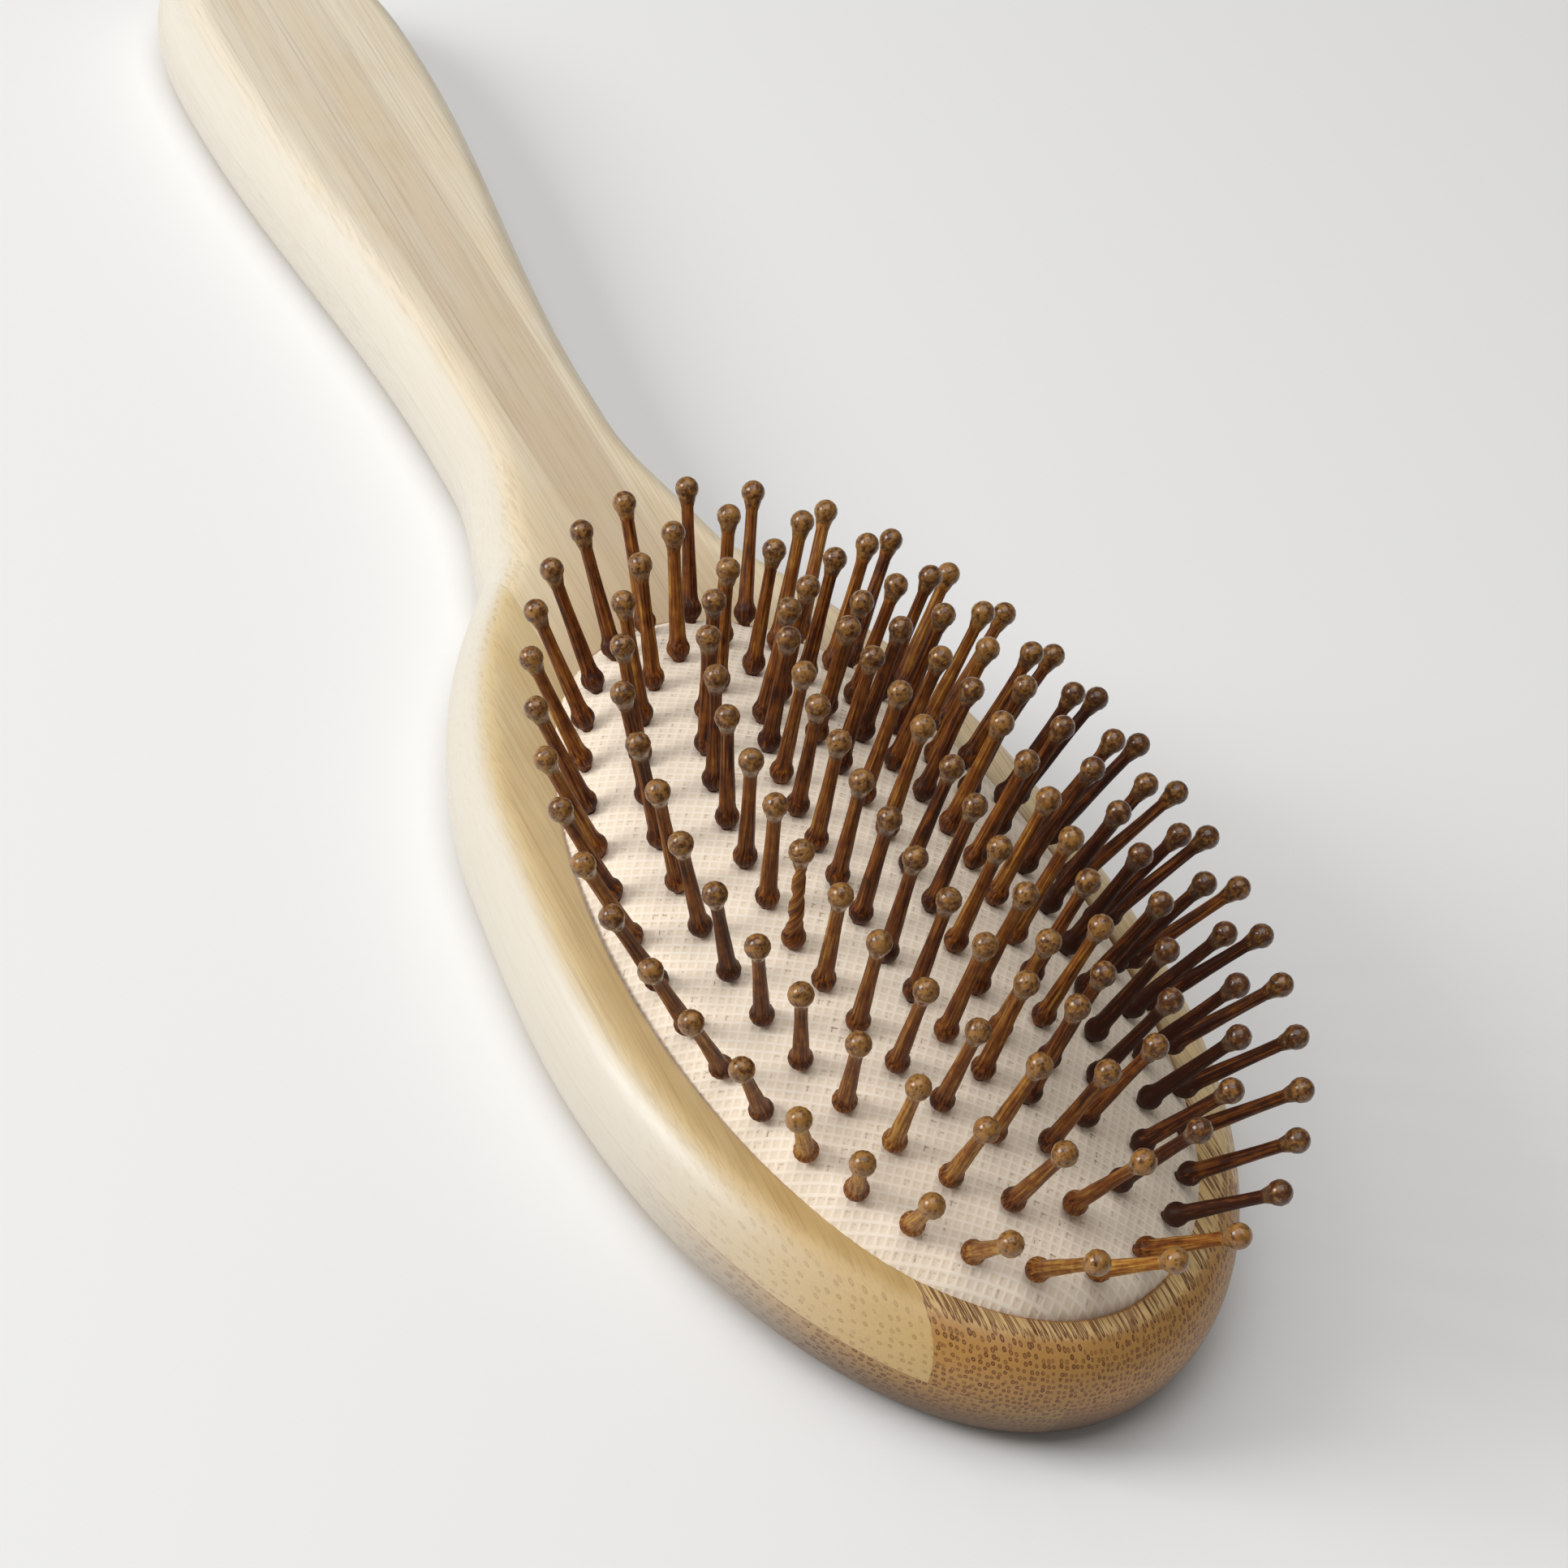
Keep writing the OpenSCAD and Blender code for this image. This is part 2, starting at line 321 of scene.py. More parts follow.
@dataclass(frozen=True)
class WovenCloth:
    """Off-white net cloth bonded to the rubber: raised threads, sunken squares and painted thread
    shadows.
    """

    FLAT: ClassVar[str] = "cloth_flat"

    name: str = "off_white_woven_cotton"
    thread: str = "#f4e8d7"
    sunk: str = "#e9d9c3"
    cell_shadow: str = "#6d4d30"
    pitch: Span = (0.9, 0.96)

    def build(self) -> Finish:
        """Builds the material.

        Returns:
            A weave that follows the cloth's own flat measure.
        """
        material, add = new_material(self.name)
        flat = add("Attribute", attribute_name=self.FLAT).outputs["Vector"]
        axes = add("SeparateXYZ", {0: flat}).outputs
        yarn = add("TexNoise", {"Vector": flat, "Scale": 2.4, "Detail": 3.0})
        patch = add("TexNoise", {"Vector": flat, "Scale": 1 / 9, "Detail": 2.0})
        wholes, threads, dashes = [], [], []
        for at, pitch, most in zip(axes, self.pitch, (1.0, 0.75)):
            count = add("Math", {0: at, 1: pitch}, operation="DIVIDE")
            part = add("Math", {0: count}, operation="FRACT")
            wholes.append(add("Math", {0: count}, operation="FLOOR"))
            # The second lines mark a painted shadow beside one thread of each square
            lines = ((threads, 0.5, 0.27, 0.42, most), (dashes, 0.68, 0.1, 0.03, 1.0))
            for marks, line, start, end, full in lines:
                off = add("Math", {0: part, 1: line}, **MINUS)
                off = add("Math", {0: off}, **SIZE)
                marks.append(add("MapRange", {0: off, 1: start, 2: end, 4: full}, **SMOOTH))
        raised, cell_shadows = (add("Math", dict(enumerate(p)), **MOST) for p in (threads, dashes))
        share = add("MapRange", {0: yarn, 1: 0.25, 2: 0.7, 3: 0.7}, **SMOOTH)
        share = add("Math", {0: raised, 1: share}, **TIMES)
        colour = add("Mix", {0: share, 6: linear(self.sunk), 7: linear(self.thread)}, **COLOUR)
        wear = add("MapRange", {0: patch, 1: 0.4, 2: 0.75, 4: 0.3}, **SMOOTH)
        colour = add("Mix", {0: wear, 6: colour, 7: linear(self.sunk)}, **COLOUR)
        cell = add("CombineXYZ", dict(enumerate(wholes)))
        lot = add("TexWhiteNoise", {"Vector": cell}, noise_dimensions="2D").outputs["Value"]
        luck = add("MapRange", {0: lot, 1: 0.6, 2: 1.0, 4: 0.5})
        luck = add("Math", {0: luck, 1: wear}, operation="ADD")
        # The painted thread shadow shows in the hollows of some squares only, more in worn patches
        hollow = add("MapRange", {0: raised, 1: 0.7, 2: 0.2}, **SMOOTH)
        faint = add("MapRange", {0: yarn, 1: 0.4, 2: 0.62}, **SMOOTH)
        for share in (hollow, luck, faint):
            cell_shadows = add("Math", {0: cell_shadows, 1: share}, **TIMES)
        colour = add("Mix", {0: cell_shadows, 6: colour, 7: linear(self.cell_shadow)}, **COLOUR)
        bump = add("Bump", {"Height": raised, "Distance": 0.032 * MM, "Strength": 1.0})
        shader = {"Base Color": colour, "Roughness": 0.85, "IOR": 1.45, "Normal": bump}
        shader |= {"Sheen Weight": 0.15}
        add("OutputMaterial", {0: add("BsdfPrincipled", shader)})
        return material


@dataclass(frozen=True)
class LatexRubber:
    """Moulded natural latex under the cloth: matt, warm tan, with a faint bloom."""

    name: str = "moulded_natural_latex"
    body: str = "#b79c7c"
    bloom: str = "#cdb697"

    def build(self) -> Finish:
        """Builds the material.

        Returns:
            A matt tan with soft clouds.
        """
        material, add = new_material(self.name)
        place = add("TexCoord").outputs["Object"]
        cloud = add("TexNoise", {"Vector": place, "Scale": 1 / (3 * MM), "Detail": 4.0})
        share = add("MapRange", {0: cloud, 1: 0.4, 2: 0.7}, **SMOOTH)
        colour = add("Mix", {0: share, 6: linear(self.body), 7: linear(self.bloom)}, **COLOUR)
        surface = add("BsdfPrincipled", {"Base Color": colour, "Roughness": 0.75, "IOR": 1.52})
        add("OutputMaterial", {0: surface})
        return material


@dataclass(frozen=True)
class DarkBamboo:
    """Turned, heat-darkened bamboo: brown with golden streaks, and a polished, pitted ball."""

    OWN: ClassVar[str] = "pin_own_place"
    TONE: ClassVar[str] = "pin_tone"
    RISE: ClassVar[str] = "pin_rise"

    name: str = "heat_darkened_bamboo"
    dark: str = "#371505"
    brown: str = "#7d4412"
    gold: str = "#c0913f"
    ball_dark: str = "#4c280c"
    ball_light: str = "#966a32"
    pit: str = "#1c0c05"
    foot_end: float = 2.0
    ball_rise: Span = (10.8, 11.7)

    def build(self) -> Finish:
        """Builds the material.

        Returns:
            A pattern that follows each pin's own axis, with a tone for each pin.
        """
        material, add = new_material(self.name)
        own = add("Attribute", attribute_name=self.OWN).outputs["Vector"]
        tone = add("Attribute", attribute_name=self.TONE).outputs["Fac"]
        rise = add("Attribute", attribute_name=self.RISE).outputs["Fac"]
        ball = add("MapRange", {0: rise, 1: self.ball_rise[0], 2: self.ball_rise[1]}, **SMOOTH)
        foot = add("MapRange", {0: rise, 1: self.foot_end, 2: 0.5, 4: -0.18}, **SMOOTH)
        along = add("Mapping", {"Vector": own, "Scale": (1 / 0.24, 1 / 0.24, 1 / 7)})
        streaks = add("TexNoise", {"Vector": along, "Scale": 1.0, "Detail": 3.0, "Roughness": 0.6})
        mottle = add("TexNoise", {"Vector": own, "Scale": 1 / 0.6, "Detail": 3.0, "Roughness": 0.6})
        grain = add("Mix", {0: ball, 2: streaks, 3: mottle})
        cloud = add("TexNoise", {"Vector": own, "Scale": 1 / 1.2, "Detail": 2.0})
        pores = add("TexVoronoi", {"Vector": own, "Scale": 1 / 0.42}).outputs
        lot = add("SeparateColor", {0: pores["Color"]}).outputs
        pits = add("MapRange", {0: pores["Distance"], 1: 0.48, 2: 0.26}, **SMOOTH)
        some = add("Math", {0: lot[0], 1: 0.6}, operation="GREATER_THAN")
        for share in (some, ball):
            pits = add("Math", {0: pits, 1: share}, **TIMES)
        level = add("Math", {0: tone, 1: foot}, operation="ADD")
        level = add("Math", {0: grain, 1: 1.7, 2: level}, **TIMES_PLUS)
        level = add("Math", {0: cloud, 1: 0.5, 2: level}, **TIMES_PLUS)
        colour = linear(self.dark)
        for start, full, tint in ((1.05, 1.5, self.brown), (1.4, 2.0, self.gold)):
            share = add("MapRange", {0: level, 1: start, 2: full}, **SMOOTH)
            colour = add("Mix", {0: share, 6: colour, 7: linear(tint)}, **COLOUR)
        share = add("Math", {0: tone, 1: 0.35, 2: mottle}, **TIMES_PLUS)
        share = add("MapRange", {0: share, 1: 0.42, 2: 0.76}, **SMOOTH)
        ends = [linear(tint) for tint in (self.ball_dark, self.ball_light)]
        tip = add("Mix", {0: share, 6: ends[0], 7: ends[1]}, **COLOUR)
        colour = add("Mix", {0: ball, 6: colour, 7: tip}, **COLOUR)
        share = add("Math", {0: pits, 1: 0.45}, **TIMES)
        colour = add("Mix", {0: share, 6: colour, 7: linear(self.pit)}, **COLOUR)
        height = add("Math", {0: grain, 1: pits}, **MINUS)
        bump = add("Bump", {"Height": height, "Distance": 0.05 * MM, "Strength": 1.0})
        rough = add("MapRange", {0: ball, 3: 0.5, 4: 0.35})
        polish = add("Math", {0: ball, 1: 0.6}, **TIMES)
        shader = {"Base Color": colour, "Roughness": rough, "IOR": 1.5, "Normal": bump}
        shader |= {"Specular IOR Level": 0.25, "Coat Weight": polish, "Coat Roughness": 0.14}
        add("OutputMaterial", {0: add("BsdfPrincipled", shader)})
        return material


@dataclass(frozen=True)
class PaleFloor:
    """Matt painted board under the brush."""

    name: str = "matt_pale_board"
    paint: str = "#ecedee"

    def build(self) -> Finish:
        """Builds the material.

        Returns:
            One plain colour.
        """
        material, add = new_material(self.name)
        shader = {"Base Color": linear(self.paint), "Roughness": 0.9}
        add("OutputMaterial", {0: add("BsdfPrincipled", shader)})
        return material


# Meshes


def settle(bm: Shape, name: str, finish: Finish, sharp: float = SHARP) -> Piece:
    """Turns a bmesh in millimetres into an object at the origin, with its place in its mesh.

    Args:
        bm: Finished bmesh, which is freed.
        name: Name of the piece.
        finish: Material of the piece.
        sharp: Angle in degrees past which an edge stays sharp.

    Returns:
        The linked object.
    """
    bmesh.ops.scale(bm, vec=(MM, MM, MM), verts=bm.verts)
    mesh = bpy.data.meshes.new(name)
    bm.to_mesh(mesh)
    bm.free()
    mesh.shade_smooth()
    mesh.set_sharp_from_angle(angle=math.radians(sharp))
    mesh.materials.append(finish)
    piece = bpy.data.objects.new(name, mesh)
    bpy.context.scene.collection.objects.link(piece)
    return piece


def stand_for(piece: Piece, node: str, body: Body, slot: Slot) -> None:
    """Ties a piece to its body, and hides the CAD node that it stands for.

    Args:
        piece: The finished piece.
        node: Name of the CAD node.
        body: Body that it rides on.
        slot: Not used.
    """
    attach(piece, body.value)
    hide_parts(node)


def stack(bm: Shape, levels: Sequence[Place], sides: int) -> None:
    """Adds a closed solid that rises through rings of points.

    Args:
        bm: Bmesh that takes the solid.
        levels: For each ring, the point at an angle in radians.
        sides: Points in a ring.
    """
    ring = bmesh.ops.create_circle(bm, cap_ends=True, segments=sides, radius=1.0)["verts"]
    angle = {v: math.atan2(v.co.y, v.co.x) for v in ring}
    edges = [e for e in bm.edges if e.verts[0] in angle and e.verts[1] in angle]
    for v in ring:
        v.co = levels[0](angle[v])
    for level in levels[1:]:
        twin = {tuple(v.co): a for v, a in angle.items()}
        made = bmesh.ops.extrude_edge_only(bm, edges=edges)["geom"]
        angle = {v: twin[tuple(v.co)] for v in made if isinstance(v, bmesh.types.BMVert)}
        edges = [e for e in made if isinstance(e, bmesh.types.BMEdge)]
        edges = [e for e in edges if e.verts[0] in angle and e.verts[1] in angle]
        for v in angle:
            v.co = level(angle[v])
    bmesh.ops.contextual_create(bm, geom=edges)
    bmesh.ops.recalc_face_normals(bm, faces=bm.faces)


def keep_side(bm: Shape, point: Triple, away: Triple) -> None:
    """Cuts a closed solid with a plane, drops the side that away points to and closes the cut.

    Args:
        bm: Bmesh to cut.
        point: A point on the plane.
        away: Normal of the plane, towards what is dropped.
    """
    geom = bm.verts[:] + bm.edges[:] + bm.faces[:]
    plane = {"plane_co": point, "plane_no": away, "dist": 1e-5}
    bmesh.ops.bisect_plane(bm, geom=geom, clear_outer=True, **plane)
    bmesh.ops.holes_fill(bm, edges=[e for e in bm.edges if e.is_boundary], sides=0)


@dataclass(frozen=True)
class BoardSizes:
    """Outline, thickness and strip joints of the board, in millimetres."""

    length: float = 240.0
    head_w: float = 69.0
    neck_w: float = 20.0
    grip_w: float = 31.0
    front_t: float = 6.0
    back_t: float = 7.0
    edge_in: float = 4.4
    head_front: float = 54.5
    head_back: float = 64.0
    neck_at: float = 144.0
    neck_flare: float = 5.0
    flare_at: float = 113.0
    flare_len: float = 26.0
    grip_at: float = 212.0
    end_fullness: float = 2.6
    end_roundness: float = 2.2
    neck_power: float = 3.0
    strip_w: float = 20.0
    front_joint: float = 4.0
    back_joint: float = -4.0

    @property
    def top(self) -> float:
        """Height of the rim."""
        return self.front_t + self.back_t

    def half_width(self, s: float) -> float:
        """Half the board's width.

        Args:
            s: Distance from the head tip.

        Returns:
            Half width of the head and the handle, blended.
        """
        reach = self.head_front if s < self.head_front else self.head_back
        u = min(abs(s - self.head_front) / reach, 1.0)
        head = self.head_w / 2 * math.sqrt(1 - u * u)
        power = self.neck_power
        return (head**power + self.handle_half(s) ** power) ** (1 / power)

    def handle_half(self, s: float) -> float:
        """Half the handle's width, which fades out under the head.

        Args:
            s: Distance from the head tip.

        Returns:
            Half width, or zero before the middle of the head.
        """
        if s < self.head_front:
            return 0.0
        if s >= self.grip_at:
            v = (s - self.grip_at) / (self.length - self.grip_at)
            return self.grip_w / 2 * max(1 - v**self.end_fullness, 0.0) ** (1 / self.end_roundness)
        flare = self.neck_flare * (1 - ease((s - self.flare_at) / self.flare_len))
        along = ease((s - self.neck_at) / (self.grip_at - self.neck_at))
        half = (self.neck_w + (self.grip_w - self.neck_w) * along) / 2 + flare
        return half * ease((s - self.head_front) / (self.head_back / 2))


def ease(u: float) -> float:
    """Smooth step from 0 to 1 by half a cosine wave."""
    return (1 - math.cos(math.pi * min(max(u, 0.0), 1.0))) / 2


@dataclass(frozen=True)
class Strip:
    """One bamboo strip of the board: its side edges and its look."""

    node: str
    edges: Span
    front: bool
    bamboo: Bamboo


@dataclass
class Board:
    """The two-layer bamboo board with its opening for the cushion."""

    sizes: BoardSizes
    pad: "PadSizes"
    outline_points: int = 360
    edge_segments: int = 10
    flat_side: float = 0.02
    flat_margin: float = 0.8
    opening_sides: int = 180
    lip: float = 0.5

    def strips(self) -> Iterator[Strip]:
        """Lists the strips, front layer first.

        Yields:
            Each strip with its own look.
        """
        b = self.sizes
        shares = (-b.head_w, -b.strip_w, 0.0, b.strip_w, b.head_w)
        # The looks also set how strong the painted sheen on the left side and the painted shade at
        # the bottom of the tip are
        side = {"pitch": 0.8, "bundle_r": 0.18, "on_end": 0.42, "along": 0.14, "edge": 0.9}
        side |= {"soak": 0.05, "tan_along": (-50.0, -120.0)}
        grip = {"tan_along": (60.0, -70.0), "on_end": 0.3, "along": 0.12, "edge": 0.85}
        tips = {"pitch": 0.54, "bundle_r": 0.19, "along": 0.9, "soak": 0.85, "shade_below": 0.8}
        right = {"along": 0.22, "soak": 0.45}
        left = {"along": 0.12, "edge": 0.9, "on_end": 0.6, "soak": 0.6, "shade_below": 0.75}
        low = {"pitch": 0.56, "bundle_r": 0.19, "soak": 0.85, "shade_below": 0.9, "edge": 0.85}
        faint = low | {"soak": 0.6, "shade_below": 0.75}
        far = {"along": 0.2, "soak": 0.8, "shade_below": 0.85}
        rows = (
            ("front_left_head", 0, "#d2bd91", "#c8a96f", (3.1, 7, 1.3), side),
            ("front_mid_left_tip", 1, "#e7d1a3", "#d8b87f", (11.7, 2, 5.9), tips),
            ("front_mid_left_handle", 1, "#e4d9c4", "#dec9a1", (5.2, 31, 8.4), grip),
            ("front_mid_right_tip", 2, "#e7d1a3", "#d8b87f", (17.4, 40, 3.3), tips),
            ("front_mid_right_handle", 2, "#e9dfca", "#e1cda7", (21.0, 3, 9.2), grip),
            ("front_right_head", 3, "#eedcb8", "#e6cb99", (28.8, 12, 2.2), right),
            ("back_left_head", 0, "#e1d6c4", "#cba869", (33.3, 22, 4.4), left),
            ("back_mid_left", 1, "#e1d6c4", "#cba869", (39.1, 5, 6.1), faint),
            ("back_mid_right", 2, "#e1d6c4", "#b58b50", (44.9, 17, 7.7), low),
            ("back_right_head", 3, "#e0cda6", "#b98f54", (50.2, 9, 0.6), far),
        )
        for node, place, pale, tan, shift, look in rows:
            front = node.startswith("front")
            joint = b.front_joint if front else b.back_joint
            edges = (joint + shares[place], joint + shares[place + 1])
            bamboo = Bamboo(pale, tan, shift, name="bamboo_" + node, joints=edges, **look)
            yield Strip(node, edges, front, bamboo)

    def blank(self) -> Shape:
        """Both layers in one solid, with the rounded edge.

        Returns:
            A closed bmesh in millimetres.
        """
        b = self.sizes
        bm = bmesh.new()
        bmesh.ops.create_circle(bm, cap_ends=True, segments=self.outline_points, radius=1.0)
        for v in bm.verts:
            s = b.length * (1 + v.co.y) / 2
            side = 0.0 if abs(v.co.x) < TINY else math.copysign(1.0, v.co.x)
            v.co = (side * b.half_width(s), s - b.length / 2, 0.0)
        thick = 2 * b.edge_in + self.flat_side
        made = bmesh.ops.extrude_face_region(bm, geom=bm.faces[:])["geom"]
        upper = [g for g in made if isinstance(g, bmesh.types.BMVert)]
        bmesh.ops.translate(bm, vec=(0, 0, thick), verts=upper)
        bmesh.ops.recalc_face_normals(bm, faces=bm.faces)
        corners = [e for e in bm.edges if abs(e.verts[0].co.z - e.verts[1].co.z) < TINY]
        bmesh.ops.bevel(
            bm, geom=corners, offset=b.edge_in, offset_type="OFFSET", segments=self.edge_segments,
            profile=0.5, affect="EDGES", material=-1, clamp_overlap=False,
        )
        flats = [f for f in bm.faces if abs(f.normal.z) > 0.999 and len(f.verts) > 8]
        bmesh.ops.inset_region(bm, faces=flats, thickness=self.flat_margin, use_even_offset=True)
        for v in bm.verts:
            u = v.co.z / (thick / 2) - 1
            v.co.z = b.back_t + u * (b.front_t if u > 0 else b.back_t)
        return bm

    def opening(self) -> Piece:
        """Cutter for the cushion's opening: an oval well with a flange groove and a rounded lip.

        Returns:
            A temporary object.
        """
        pad, top, lip = self.pad, self.sizes.top, self.lip
        groove = pad.flange_w + pad.play
        low, high = pad.flange_z - pad.play, pad.flange_z + pad.rubber_t + pad.play
        steps = [(0.0, self.sizes.back_t - 1), (0.0, low)]
        steps += [(groove, low), (groove, high), (0.0, high)]
        for turn in (0.0, 0.4, 0.8, 1.2, 1.5):
            steps.append((lip * (1 - math.cos(turn)), top - lip + lip * math.sin(turn)))
        steps.append((lip, top + 2))
        bm = bmesh.new()
        stack(bm, [pad.ring(grow, height) for grow, height in steps], self.opening_sides)
        return settle(bm, "opening_cutter", PaleFloor().build())

    def build(self) -> list[Piece]:
        """Builds every strip as its own piece.

        Returns:
            The pieces, each standing for its CAD node.
        """
        cutter, blank = self.opening(), self.blank()
        pieces = []
        for strip in self.strips():
            piece = self.cut_strip(strip, blank.copy(), cutter)
            self.mark_facing(piece.data)
            stand_for(piece, strip.node, Body.BOARD, Slot.FRONT if strip.front else Slot.BACK)
            pieces.append(piece)
        blank.free()
        bpy.data.objects.remove(cutter)
        return pieces

    def cut_strip(self, strip: Strip, bm: Shape, cutter: Piece) -> Piece:
        """Cuts one strip out of the blank.

        Args:
            strip: The strip to cut.
            bm: Copy of the blank.
            cutter: The opening's cutter.

        Returns:
            The strip's object.
        """
        keep_side(bm, (0, 0, self.sizes.back_t), (0, 0, -1 if strip.front else 1))
        for edge, away in zip(strip.edges, (-1, 1)):
            keep_side(bm, (edge, 0, 0), (away, 0, 0))
        if strip.node.endswith(("_tip", "_handle")):
            away = 1 if strip.node.endswith("_tip") else -1
            keep_side(bm, (0, self.pad.middle_y, 0), (0, away, 0))
        bmesh.ops.recalc_face_normals(bm, faces=bm.faces)
        finish = strip.bamboo.build()
        piece = settle(bm, strip.node + "_strip", finish)
        if strip.front:
            cut = piece.modifiers.new("opening", "BOOLEAN")
            cut.operation, cut.solver, cut.object = "DIFFERENCE", "EXACT", cutter
            bpy.context.view_layer.objects.active = piece
            bpy.ops.object.modifier_apply(modifier=cut.name)
            piece.data.materials.clear()
            piece.data.materials.append(finish)
            piece.data.set_sharp_from_angle(angle=math.radians(SHARP))
        return piece

    def mark_facing(self, mesh: bpy.types.Mesh) -> None:
        """Stores how each face corner lies: on the opening, along the fibres, and up or down.

        Args:
            mesh: Finished mesh of a strip.
        """
        pad, marks = self.pad, []
        for loop, turn in zip(mesh.loops, mesh.corner_normals):
            at = mesh.vertices[loop.vertex_index].co / MM
            share = math.hypot(at.x / (pad.width / 2), (at.y - pad.middle_y) / (pad.length / 2))
            beyond = (share - 1) * pad.width / 2
            marks.append(min(max(1 - beyond / self.lip, 0.0), 1.0))
            marks += [abs(turn.vector.y), abs(turn.vector.z)]
        facing = mesh.attributes.new(Bamboo.FACING, "FLOAT_VECTOR", "CORNER")
        facing.data.foreach_set("vector", marks)


@dataclass(frozen=True)
class PadSizes:
    """Opening, crown and layers of the cushion, in millimetres."""

    width: float = 55.0
    length: float = 97.5
    middle_y: float = -65.5
    rim: float = 13.0
    crown: float = 11.4
    end_lip: float = 1.8
    cloth_t: float = 0.5
    rubber_t: float = 1.6
    flange_w: float = 2.0
    flange_z: float = 8.9
    play: float = 0.1
    wall_gap: float = 0.1

    @property
    def cross_r(self) -> float:
        """Radius of the crown across the brush."""
        half = self.width / 2
        return (half * half + self.crown**2) / (2 * self.crown)

    @property
    def long_r(self) -> float:
        """Radius of the crown along the brush."""
        rise, half = self.crown - self.end_lip, self.length / 2
        return (half * half + rise * rise) / (2 * rise)

    def face(self, x: float, y: float) -> float:
        """Height of the cloth's face.

        Args:
            x: Place across the brush.
            y: Place along the brush, from the middle of the cushion.

        Returns:
            Height above the brush's back.
        """
        reach = self.long_r - self.cross_r + math.sqrt(max(self.cross_r**2 - x * x, 0.0))
        return self.rim + self.crown - self.long_r + math.sqrt(reach * reach - y * y)

    def normal(self, x: float, y: float) -> Vector:
        """Outward direction of the cloth's face.

        Args:
            x: Place across the brush.
            y: Place along the brush, from the middle of the cushion.

        Returns:
            A unit vector.
        """
        z = self.face(x, y) - (self.rim + self.crown - self.long_r)
        share = 1 - (self.long_r - self.cross_r) / math.hypot(y, z)
        return Vector((x, y * share, z * share)).normalized()

    def ring(self, grow: float, height: float) -> Place:
        """Level oval ring, so far outside the opening's edge and so high."""
        a, b = self.width / 2 + grow, self.length / 2 + grow
        return lambda t: Vector((a * math.cos(t), self.middle_y + b * math.sin(t), height))


